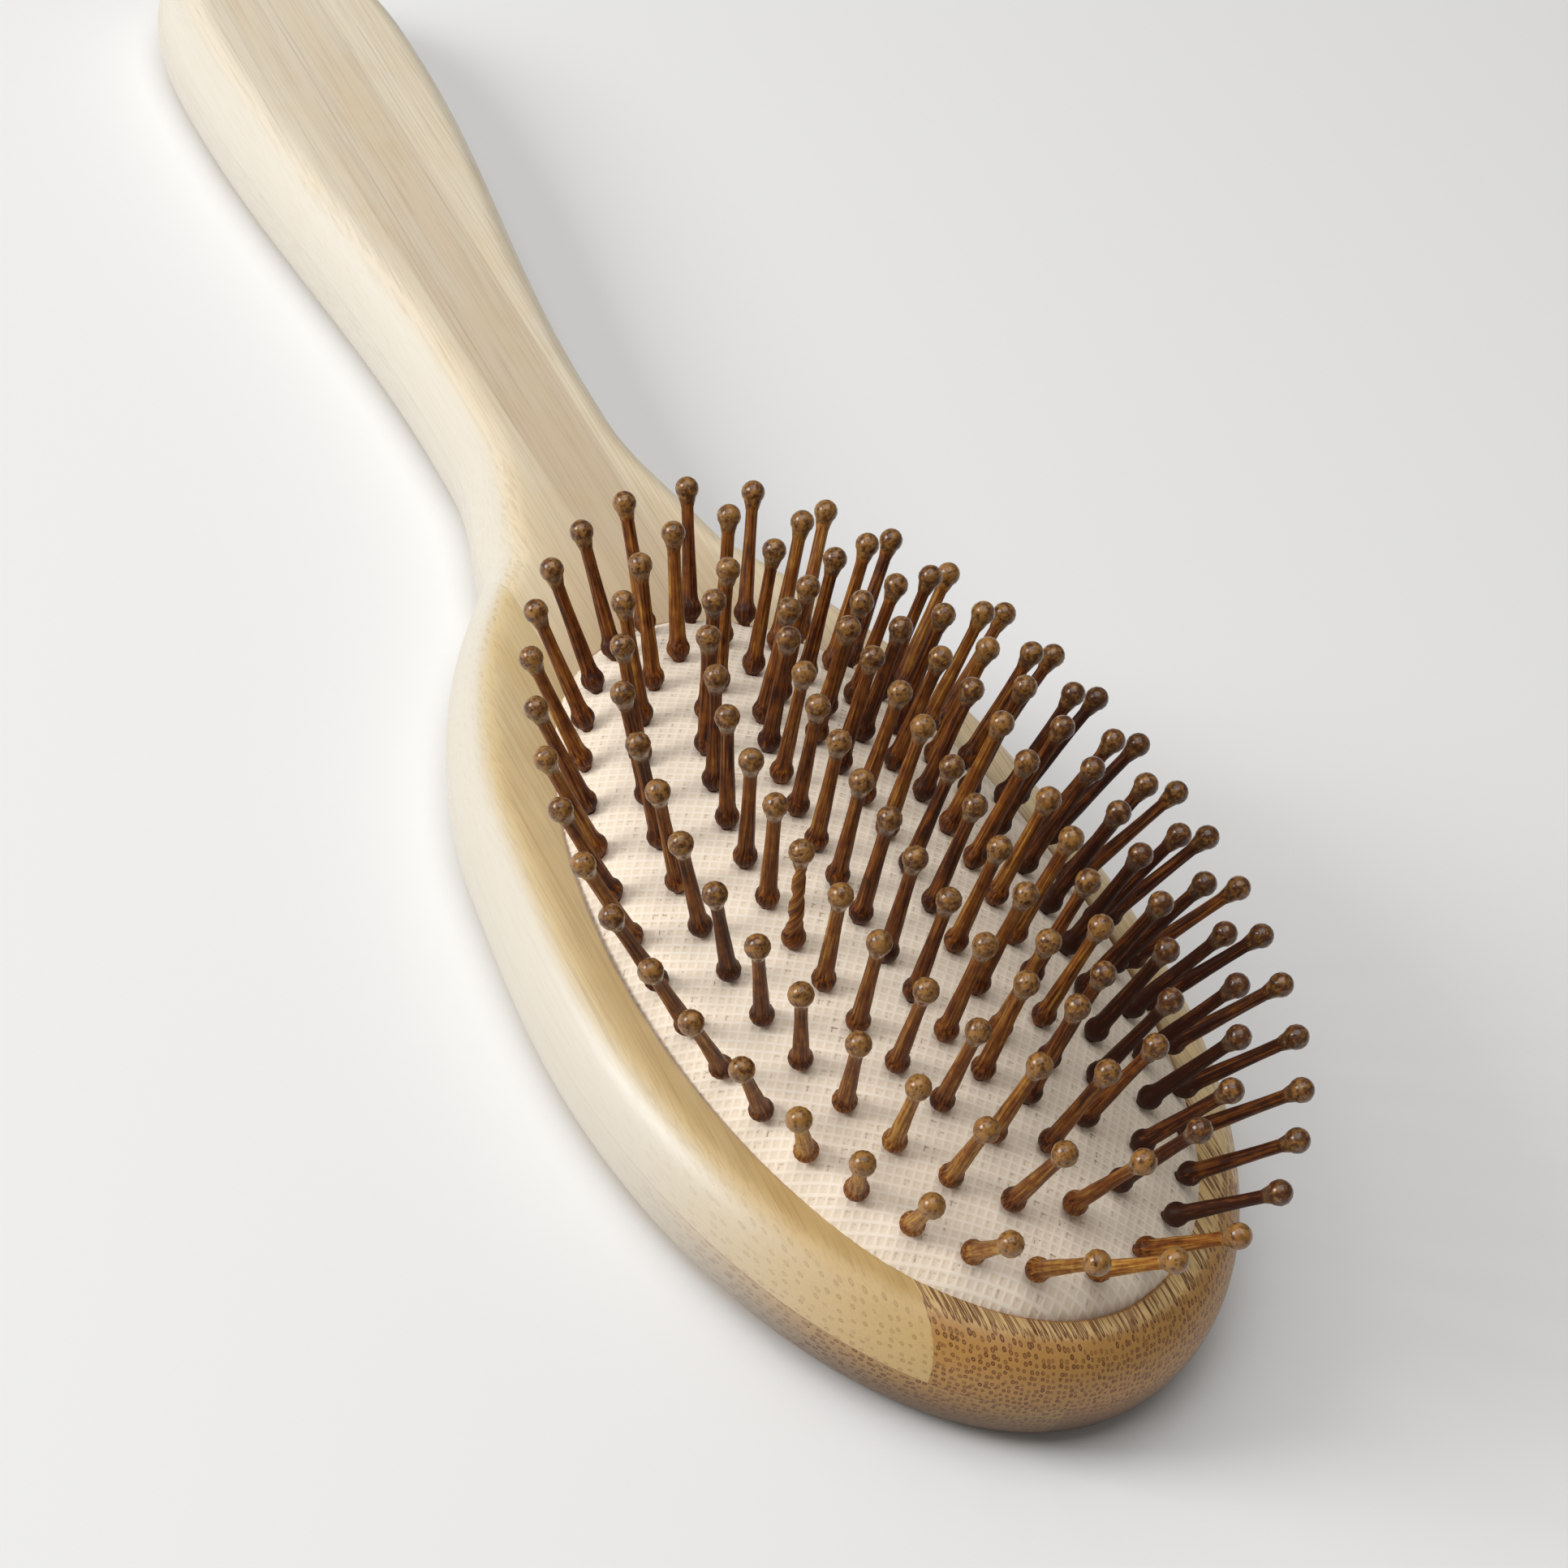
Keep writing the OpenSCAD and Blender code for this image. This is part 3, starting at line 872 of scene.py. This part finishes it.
@dataclass
class Cushion:
    """The air cushion: a moulded rubber shell held by its flange, faced with woven cloth."""

    sizes: PadSizes
    press_joint: str = "middle_press"
    press: float = 5.0
    weave: WovenCloth = WovenCloth()
    weave_turn: float = 54.0
    samples: int = 3
    sides: int = 96
    rings: int = 14
    rib_height: float = 0.05
    rib_from: float = 0.4
    low_rib: float = 0.7
    roll: float = 4.0
    tuck: float = 1.3
    skirt: float = 2.4

    def build(self) -> list[Piece]:
        """Builds the rubber and the cloth.

        Returns:
            Both pieces.
        """
        rubber, cloth = self.rubber(), self.cloth()
        stand_for(rubber, "rubber_cushion", Body.BOARD, Slot.RUBBER)
        stand_for(cloth, "cushion_cloth", Body.BOARD, Slot.CLOTH)
        for piece in (rubber, cloth):
            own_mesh(piece)
        return [rubber, cloth]

    def flat_half(self) -> Span:
        """Size of the cloth over the crown, laid flat.

        Returns:
            Half width and half length.
        """
        p = self.sizes
        inner_w, inner_l = p.width / 2 - p.wall_gap, p.length / 2 - p.wall_gap
        return p.cross_r * math.asin(inner_w / p.cross_r), p.long_r * math.asin(inner_l / p.long_r)

    def beyond(self, flat: Vector) -> float:
        """Tells how far a point of the flat cloth lies outside the edge of the crown.

        Args:
            flat: The point's place on the flat cloth, from its middle.

        Returns:
            The distance, negative inside.
        """
        half = self.flat_half()
        share = max(math.hypot(flat.x / half[0], flat.y / half[1]), TINY)
        return (share - 1) * flat.length / share

    def lay(self, flat: Vector) -> Vector:
        """Lays a point of the flat cloth on the crown, which rolls over into the rim at its edge.

        Args:
            flat: The point's place on the flat cloth, from its middle.

        Returns:
            The point in the frame.
        """
        p, past = self.sizes, self.beyond(flat)
        held = flat if past <= 0 else flat * (1 - past / flat.length)
        x, y = p.cross_r * math.sin(held.x / p.cross_r), p.long_r * math.sin(held.y / p.long_r)
        into = min(max(1 + past / self.roll, 0.0), 1.0)
        drop = (p.face(x, y) - p.rim + self.tuck) * (1 - math.sqrt(1 - into * into))
        return Vector((x, p.middle_y + y, p.face(x, y) - drop - max(past, 0.0)))

    def crown_point(self, share: float, inside: float, depth: float, turn: float) -> Vector:
        """Finds a point of a ring on the crown, inside the cloth's edge and below its face.

        Args:
            share: Share of the crown's half width and length.
            inside: Distance kept from the cloth at the crown's edge.
            depth: Depth under the cloth's face.
            turn: Angle along the ring in radians.

        Returns:
            The point in the frame.
        """
        half, p = self.flat_half(), self.sizes
        at = self.lay(Vector((half[0] * math.cos(turn), half[1] * math.sin(turn), 0.0)) * share)
        y = p.middle_y + (at.y - p.middle_y) * (1 - 2 * inside / p.length)
        return Vector((at.x * (1 - 2 * inside / p.width), y, at.z - depth))

    def rubber(self) -> Piece:
        """Builds the rubber shell with its flange.

        Returns:
            A closed shell under the cloth.
        """
        p = self.sizes
        low, high = p.flange_z, p.flange_z + p.rubber_t
        outside = p.cloth_t
        inside = outside + p.rubber_t
        turns = [math.pi / 2 * k / self.rings for k in range(1, self.rings + 1)]
        shares = [0.02] + [math.sin(turn) for turn in turns]
        levels = [partial(self.crown_point, k, inside, inside) for k in shares]
        levels += [p.ring(-inside - p.play, low), p.ring(p.flange_w, low)]
        levels += [p.ring(p.flange_w, high), p.ring(-outside - p.play, high)]
        levels += [partial(self.crown_point, k, outside, outside) for k in reversed(shares)]
        bm = bmesh.new()
        stack(bm, levels, self.sides)
        return settle(bm, "rubber_shell", LatexRubber().build())

    def cloth(self) -> Piece:
        """Builds the cloth as a grid of its threads, laid over the crown and tucked behind the rim.

        Returns:
            A sheet whose vertices lie on its threads.
        """
        pitch = self.weave.pitch
        reach = math.hypot(*self.flat_half())
        steps = [2 * math.ceil(reach / p) * self.samples for p in pitch]
        bm = bmesh.new()
        bmesh.ops.create_grid(bm, x_segments=steps[0], y_segments=steps[1], size=1.0)
        flat_layer = bm.verts.layers.float_vector.new(WovenCloth.FLAT)
        turn = Matrix.Rotation(math.radians(self.weave_turn), 3, "Z")
        outside = []
        for v in bm.verts:
            counts = [v.co[i] * steps[i] / 2 / self.samples for i in (0, 1)]
            thread = Vector((counts[0] * pitch[0], counts[1] * pitch[1], 0.0))
            flat = turn @ thread
            if self.beyond(flat) > self.skirt:
                outside.append(v)
                continue
            v[flat_layer] = thread
            v.co = self.lay(flat)
        bmesh.ops.delete(bm, geom=outside, context="VERTS")
        bmesh.ops.recalc_face_normals(bm, faces=bm.faces)
        if sum(f.normal.z for f in bm.faces) < 0:
            bmesh.ops.reverse_faces(bm, faces=bm.faces)
        self.raise_ribs(bm, flat_layer)
        return settle(bm, "woven_cover", self.weave.build(), sharp=180.0)

    def raise_ribs(self, bm: Shape, flat_layer: Any) -> None:
        """Lifts the vertices that lie on a thread.

        Args:
            bm: The laid cloth.
            flat_layer: Place of each vertex along the two thread directions.
        """
        bm.normal_update()
        lifts = {}
        for v in bm.verts:
            off = [abs(v[flat_layer][i] / self.weave.pitch[i] % 1 - 0.5) for i in (0, 1)]
            if max(off) > self.rib_from:
                share = 1.0 if off[0] > self.rib_from else self.low_rib
                lifts[v] = v.normal * self.rib_height * share
        for v, lift in lifts.items():
            v.co += lift


@dataclass(frozen=True)
class PinSizes:
    """Sizes of one pin along its axis, in millimetres, from the middle of its foot."""

    height: float = 14.0
    ball_d: float = 2.55
    foot_d: float = 2.5
    low_d: float = 1.7
    top_d: float = 1.35
    shank_d: float = 1.2
    head_d: float = 2.4
    head_t: float = 0.8
    foot_gap: float = 0.1
    through: float = 2.75

    @property
    def reach(self) -> float:
        """Distance from the middle of the foot to the middle of the ball."""
        return self.height - self.foot_d / 2

    def profile(self, steps: int) -> list[Span]:
        """Radius and height of the turned outline, from the head's underside to the ball's pole.

        Args:
            steps: Steps along the shaft.

        Returns:
            The outline's points from below.
        """
        foot, ball, top = self.foot_d / 2, self.ball_d / 2, self.reach
        neck = foot + self.foot_gap + self.through
        shank, low, high = self.shank_d / 2, self.low_d / 2, self.top_d / 2
        outline = [(0.0, -neck - self.head_t), (self.head_d / 2, -neck - self.head_t)]
        outline += [(self.head_d / 2, -neck), (shank, -neck), (shank, -foot)]
        outline += [(foot * math.cos(a), foot * math.sin(a)) for a in (-0.8, -0.4, 0.0, 0.35, 0.62)]
        outline += [(low * 1.08, foot * 0.86)]
        start, end = foot * 1.3, top - ball * 1.55
        for k in range(steps + 1):
            radius = low + (high - low) * ease(1.3 * k / steps)
            outline.append((radius, start + (end - start) * k / steps))
        outline += [(high * 1.18, top - ball * 1.15)]
        turns = (-0.72, -0.4, 0.0, 0.4, 0.8, 1.15, 1.4)
        outline += [(ball * math.cos(a), top + ball * math.sin(a)) for a in turns]
        return outline + [(0.0, top + ball)]


@dataclass(frozen=True)
class PinRing:
    """One oval ring of pins, or the straight middle row."""

    STEPS: ClassVar[int] = 180

    node: str
    body: Body
    count: int
    half_w: float
    half_l: float
    lean: float
    golden: frozenset[int] = frozenset()
    # Pins darkened as painted shade
    shaded_pins: range = range(0)
    torn: int = -1

    def places(self, pad: PadSizes, shift: float) -> Iterator[Spot]:
        """Foot places and leans of the pins, evenly spaced along the ring.

        Args:
            pad: Sizes of the cushion.
            shift: How far the middle row sits towards the head tip.

        Yields:
            Place across and along from the cushion's middle, lean and its direction in degrees.
        """
        if self.half_w == 0:
            for i in range(self.count):
                u = 2 * i / (self.count - 1) - 1
                yield 0.0, u * self.half_l - shift, self.lean * u, 90.0
            return
        turns = [2 * math.pi * i / self.STEPS for i in range(self.STEPS + 1)]
        spots = [Vector((self.half_w * math.sin(t), -self.half_l * math.cos(t))) for t in turns]
        run = [0.0]
        for a, b in zip(spots, spots[1:]):
            run.append(run[-1] + (b - a).length)
        ring_shift = shift * (1 - 2 * self.half_w / pad.width)
        k = 0
        for i in range(self.count):
            want = run[-1] * i / self.count
            while run[k + 1] < want:
                k += 1
            t = turns[k] + (turns[1] - turns[0]) * (want - run[k]) / (run[k + 1] - run[k])
            x, y = self.half_w * math.sin(t), -self.half_l * math.cos(t)
            yield x, y - ring_shift, self.lean, math.degrees(t) - 90


@dataclass
class PinField:
    """All ball-tipped pins, one piece for each ring that moves as one."""

    pad: PadSizes
    pin: PinSizes
    shift: float = 1.2
    sides: int = 14
    plain_steps: int = 4
    torn_steps: int = 24
    groove: float = 0.07
    tear: float = 0.28
    sway: float = 1.2
    tone: float = 0.27
    spread: float = 0.14
    lighter: float = 0.27
    darker: float = 0.25
    spiral: float = 0.9
    seed: int = 11

    def rings(self) -> list[PinRing]:
        """Lists the rings of pins.

        Returns:
            The rings from the rim inwards, then the middle row.
        """
        gold = [frozenset(pins) for pins in ((0, 1, 33, 34, 35, 36, 37), (29, 30), (22,))]
        # Pins on the right of each ring, away from the key light, are darkened as painted shade
        dark = [range(2, 14), range(1, 11), range(2, 9)]
        return [
            PinRing("pins_outer_ring", Body.OUTER, 38, 25.4, 46.0, 37.0, gold[0], dark[0]),
            PinRing("pins_second_ring", Body.SECOND, 32, 20.5, 39.6, 24.0, gold[1], dark[1]),
            PinRing("pins_third_ring", Body.THIRD, 28, 14.4, 33.2, 14.0, gold[2], dark[2], 22),
            PinRing("pins_inner_ring", Body.INNER, 24, 7.6, 27.8, 6.5),
            PinRing("pins_middle_row", Body.MIDDLE, 9, 0.0, 20.4, 6.0),
        ]

    def build(self) -> list[Piece]:
        """Builds one piece for each ring.

        Returns:
            The pieces, each standing for its CAD node.
        """
        finish = DarkBamboo().build()
        draw = random.Random(self.seed)
        pieces = []
        for ring in self.rings():
            bm = bmesh.new()
            own = bm.verts.layers.float_vector.new(DarkBamboo.OWN)
            tone = bm.verts.layers.float.new(DarkBamboo.TONE)
            rise = bm.verts.layers.float.new(DarkBamboo.RISE)
            blanks = [self.turned_pin(bm, k) for k in (self.plain_steps, self.torn_steps)]
            for i, spot in enumerate(ring.places(self.pad, self.shift)):
                twist = self.spiral if i == ring.torn else 0.0
                copy = bmesh.ops.duplicate(bm, geom=blanks[1 if twist else 0])["geom"]
                verts = [g for g in copy if isinstance(g, bmesh.types.BMVert)]
                mark = Vector([draw.uniform(0, 90) for _ in range(3)])
                shade = self.tone + draw.uniform(-self.spread, self.spread)
                shade += self.lighter * (i in ring.golden) - self.darker * (i in ring.shaded_pins)
                for v in verts:
                    v[own] = Matrix.Rotation(-twist * v.co.z, 3, "Z") @ v.co + mark
                    v[tone], v[rise] = shade, v.co.z
                self.carve(verts, twist, draw)
                bmesh.ops.transform(bm, matrix=self.stand(spot, draw), verts=verts)
            bmesh.ops.delete(bm, geom=blanks[0] + blanks[1], context="VERTS")
            piece = settle(bm, ring.node + "_turned", finish, sharp=50.0)
            stand_for(piece, ring.node, ring.body, Slot.PIN)
            pieces.append(piece)
        return pieces

    def stand(self, spot: Spot, draw: random.Random) -> Matrix:
        """Matrix that stands a pin on the cloth, a little unevenly.

        Args:
            spot: The pin's place and lean, as the ring gives them.
            draw: Source of chance.

        Returns:
            A rigid motion in millimetres.
        """
        x, y, lean, way = spot
        lift = self.pin.foot_d / 2 + self.pin.foot_gap
        foot = Vector((x, y, self.pad.face(x, y))) + self.pad.normal(x, y) * lift
        foot.y += self.pad.middle_y
        tilt = [math.radians(draw.uniform(-self.sway, self.sway)) for _ in range(2)]
        matrix = Matrix.Translation(foot) @ Matrix.Rotation(math.radians(way), 4, "Z")
        matrix = matrix @ Matrix.Rotation(math.radians(lean) + tilt[0], 4, "Y")
        return matrix @ Matrix.Rotation(tilt[1], 4, "X")

    def turned_pin(self, bm: Shape, steps: int) -> list[Any]:
        """Spins one pin about Z.

        Args:
            bm: Bmesh that takes the pin.
            steps: Steps along the shaft.

        Returns:
            The pin's vertices, edges and faces.
        """
        before = set(bm.verts)
        points = [bm.verts.new((r, 0.0, z)) for r, z in self.pin.profile(steps)]
        edges = [bm.edges.new(pair) for pair in zip(points, points[1:])]
        turn = {"cent": (0, 0, 0), "axis": (0, 0, 1), "angle": 2 * math.pi, "steps": self.sides}
        bmesh.ops.spin(bm, geom=points + edges, use_merge=True, **turn)
        bmesh.ops.remove_doubles(bm, verts=[v for v in bm.verts if v not in before], dist=1e-4)
        verts = [v for v in bm.verts if v not in before]
        faces = list({f for v in verts for f in v.link_faces})
        bmesh.ops.recalc_face_normals(bm, faces=faces)
        return verts + list({e for v in verts for e in v.link_edges}) + faces

    def carve(self, verts: Sequence[bmesh.types.BMVert], twist: float, draw: random.Random) -> None:
        """Cuts uneven grooves along a pin's shaft, or winds a deep one round it.

        Args:
            verts: The pin's vertices, still about Z.
            twist: Turn of the groove in radians for each millimetre of height, or zero.
            draw: Source of chance.
        """
        cuts = [draw.uniform(-self.groove, self.groove * 0.4) for _ in range(self.sides)]
        low, high = self.pin.foot_d * 0.4, self.pin.reach - self.pin.ball_d * 0.75
        for v in verts:
            if low < v.co.z < high:
                turn = math.atan2(v.co.y, v.co.x)
                cut = cuts[round(turn / (2 * math.pi) * self.sides) % self.sides]
                if twist:
                    cut = -self.tear * max(math.cos(2 * (turn - twist * v.co.z)), 0.0)
                v.co += Vector((v.co.x, v.co.y, 0)).normalized() * cut


@dataclass(frozen=True)
class Softbox:
    """One square area lamp: where it stands from what it lights, its side in mm, and its watts."""

    name: str
    place: Vector
    size: float
    power: float

    def build(self, at: Vector) -> None:
        """Makes the lamp.

        Args:
            at: What it shines at, in millimetres.
        """
        data = bpy.data.lights.new(self.name, "AREA")
        data.size, data.energy = self.size * MM, self.power
        lamp = bpy.data.objects.new(self.name, data)
        lamp.location = (at + self.place) * MM
        lamp.rotation_euler = (-self.place).to_track_quat("-Z", "Y").to_euler()
        bpy.context.scene.collection.objects.link(lamp)


@dataclass(frozen=True)
class Studio:
    """Camera, floor and soft light."""

    image: float = 1932.0
    focal: float = 5000.0
    azimuth: float = -39.06
    elevation: float = 39.13
    roll: float = 20.46
    distance: float = 450.9
    pan: Span = (21.95, -18.02)
    aim: Triple = (0.0, -1.5, 0.0)
    sensor: float = 36.0
    floor_half: float = 3000.0
    lit: Triple = (0.0, -20.0, 10.0)
    softboxes: tuple[Softbox, ...] = (
        Softbox("key_softbox", Vector((-1100.0, 330.0, 550.0)), 500.0, 10.6),
        Softbox("top_softbox", Vector((-300.0, 60.0, 1200.0)), 1100.0, 9.2),
    )
    air: str = "#faf4ec"
    air_strength: float = 0.24

    def build(self) -> None:
        """Makes the camera, the floor, the lamps and the world."""
        self.camera()
        self.floor()
        for softbox in self.softboxes:
            softbox.build(Vector(self.lit))
        world = bpy.data.worlds.new("pale_room")
        world.use_nodes = True
        glow = world.node_tree.nodes["Background"].inputs
        glow["Color"].default_value = linear(self.air)
        glow["Strength"].default_value = self.air_strength
        bpy.context.scene.world = world
        bpy.context.scene.view_settings.view_transform = "Standard"

    def camera(self) -> None:
        """Makes the camera, with the photo's angle to the brush."""
        a, e, r = (math.radians(v) for v in (self.azimuth, self.elevation, self.roll))
        back = Vector((math.sin(a) * math.cos(e), -math.cos(a) * math.cos(e), math.sin(e)))
        level = Vector((math.cos(a), math.sin(a), 0.0))
        rise = back.cross(level)
        right = level * math.cos(r) + rise * math.sin(r)
        up = rise * math.cos(r) - level * math.sin(r)
        data = bpy.data.cameras.new("camera")
        data.sensor_width = self.sensor
        data.lens = self.focal / self.image * self.sensor
        data.clip_start, data.clip_end = 0.01, 20.0
        place = Vector(self.aim) + back * self.distance + right * self.pan[0] + up * self.pan[1]
        cam = bpy.data.objects.new("camera", data)
        turn = Matrix((right, up, back)).transposed().to_4x4()
        cam.matrix_world = Matrix.Translation(place * MM) @ turn
        bpy.context.scene.collection.objects.link(cam)
        bpy.context.scene.camera = cam

    def floor(self) -> None:
        """Makes the floor that the brush lies on."""
        bm = bmesh.new()
        bmesh.ops.create_grid(bm, x_segments=1, y_segments=1, size=self.floor_half)
        settle(bm, "floor", PaleFloor().build())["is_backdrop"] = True


def write_sizes() -> None:
    """Gathers the CAD box and the visual model's box as plain lists, which are not kept."""
    boxes = {"cad": cad_box, "visual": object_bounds()}
    {name: [list(corner) for corner in box] for name, box in boxes.items()}


def main() -> None:
    """Builds the sub-assemblies in order and reports each piece."""
    logging.basicConfig(level=logging.INFO, format="%(name)s: %(message)s")
    pad = PadSizes()
    Studio().build()
    for assembly in (Board(BoardSizes(), pad), Cushion(pad), PinField(pad, PinSizes())):
        for piece in assembly.build():
            log.info("%s: %d faces", piece.name, len(piece.data.polygons))
    write_sizes()


if __name__ == "__main__":
    main()
